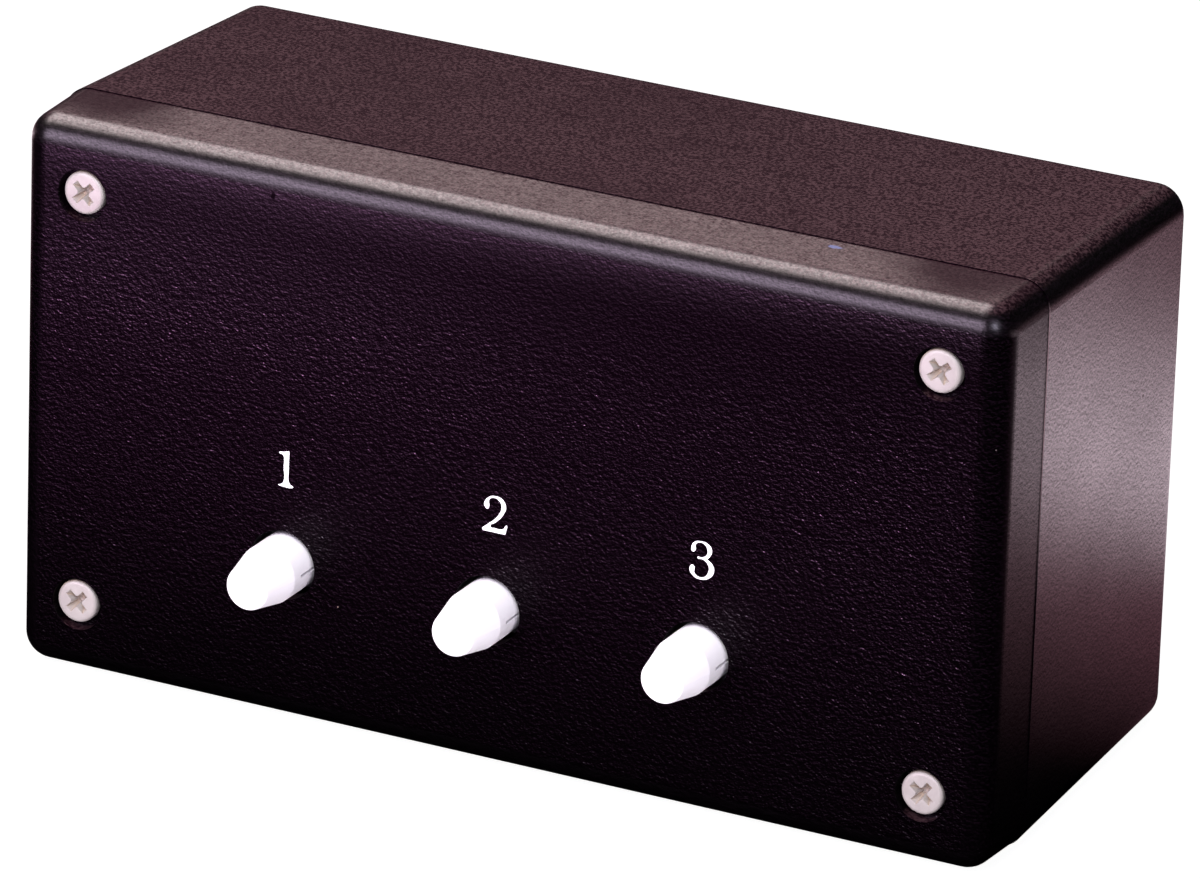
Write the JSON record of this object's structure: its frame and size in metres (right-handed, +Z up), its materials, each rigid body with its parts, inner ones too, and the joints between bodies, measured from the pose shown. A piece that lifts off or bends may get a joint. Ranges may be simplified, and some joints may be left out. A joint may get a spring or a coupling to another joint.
{
  "type": "line level selector",
  "caption": "Small black desk box with a row of numbered push buttons that switch one of several stereo line inputs to an output, with audio sockets on the back.",
  "frame": {"origin": "middle of the flat underside that the case stands on", "axes": "+X to the right of someone facing the buttons, +Y from the front to the back, +Z up; the lid leans back by the case's 1.8 degrees of moulding draft"},
  "size_m": [0.15, 0.0766, 0.082],
  "materials": {
    "case_plastic": "moulded, fine pebbled grain",
    "cap_plastic": "smooth white",
    "nickel_screw": "nickel plated, satin face",
    "zinc_steel": "zinc plated sheet",
    "spring_wire": "drawn wire",
    "contact_brass": "tinned",
    "plunger_plastic": "natural nylon",
    "switch_plastic": "moulded, smooth",
    "board_laminate": "solder mask over glass laminate",
    "header_plastic": "moulded, smooth",
    "jack_plastic": "moulded, smooth",
    "nickel_nut": "nickel plated",
    "ribbon_vinyl": "ribbed grey vinyl"
  },
  "bodies": {
    "housing": {"frame_screws": "zinc_steel", "front_lid": "case_plastic", "header_pins": "contact_brass", "jack_board": "board_laminate", "jack_body_input_1_left": "jack_plastic", "jack_body_input_1_right": "jack_plastic", "jack_body_input_2_left": "jack_plastic", "jack_body_input_2_right": "jack_plastic", "jack_body_input_3_left": "jack_plastic", "jack_body_input_3_right": "jack_plastic", "jack_body_output_left": "jack_plastic", "jack_body_output_right": "jack_plastic", "jack_contacts_input_1_left": "contact_brass", "jack_contacts_input_1_right": "contact_brass", "jack_contacts_input_2_left": "contact_brass", "jack_contacts_input_2_right": "contact_brass", "jack_contacts_input_3_left": "contact_brass", "jack_contacts_input_3_right": "contact_brass", "jack_contacts_output_left": "contact_brass", "jack_contacts_output_right": "contact_brass", "jack_header": "header_plastic", "jack_nuts": "nickel_nut", "jack_washers": "nickel_nut", "latch_spring": "spring_wire", "lid_screws": "nickel_screw", "rear_case": "case_plastic", "return_spring_1": "spring_wire", "return_spring_2": "spring_wire", "return_spring_3": "spring_wire", "ribbon_cable": "ribbon_vinyl", "switch_base_1": "switch_plastic", "switch_base_2": "switch_plastic", "switch_base_3": "switch_plastic", "switch_board": "board_laminate", "switch_frame": "zinc_steel", "switch_header": "header_plastic", "switch_housing_1": "switch_plastic", "switch_housing_2": "switch_plastic", "switch_housing_3": "switch_plastic", "terminals_1": "contact_brass", "terminals_2": "contact_brass", "terminals_3": "contact_brass"},
    "latch_bar": {"latch_bar": "zinc_steel"},
    "button_1": {"button_1": "cap_plastic", "plunger_1": "plunger_plastic", "moving_contacts_1": "contact_brass"},
    "button_2": {"button_2": "cap_plastic", "plunger_2": "plunger_plastic", "moving_contacts_2": "contact_brass"},
    "button_3": {"button_3": "cap_plastic", "plunger_3": "plunger_plastic", "moving_contacts_3": "contact_brass"}
  },
  "joints": [
    {"name": "button_1_press", "type": "slide", "parent": "housing", "child": "button_1", "axis": [0, 0.9995, -0.0314], "range_m": [0, 0.0035], "stiffness_N_per_m": 300, "springref_m": -0.003, "deforming": ["return_spring_1"]},
    {"name": "button_2_press", "type": "slide", "parent": "housing", "child": "button_2", "axis": [0, 0.9995, -0.0314], "range_m": [0, 0.0035], "stiffness_N_per_m": 300, "springref_m": -0.003, "deforming": ["return_spring_2"]},
    {"name": "button_3_press", "type": "slide", "parent": "housing", "child": "button_3", "axis": [0, 0.9995, -0.0314], "range_m": [0, 0.0035], "stiffness_N_per_m": 300, "springref_m": -0.003, "deforming": ["return_spring_3"]},
    {"name": "latch_bar_slide", "type": "slide", "parent": "housing", "child": "latch_bar", "axis": [1, 0, 0], "range_m": [0, 0.0009], "stiffness_N_per_m": 300, "springref_m": -0.002, "deforming": ["latch_spring"]}
  ]
}
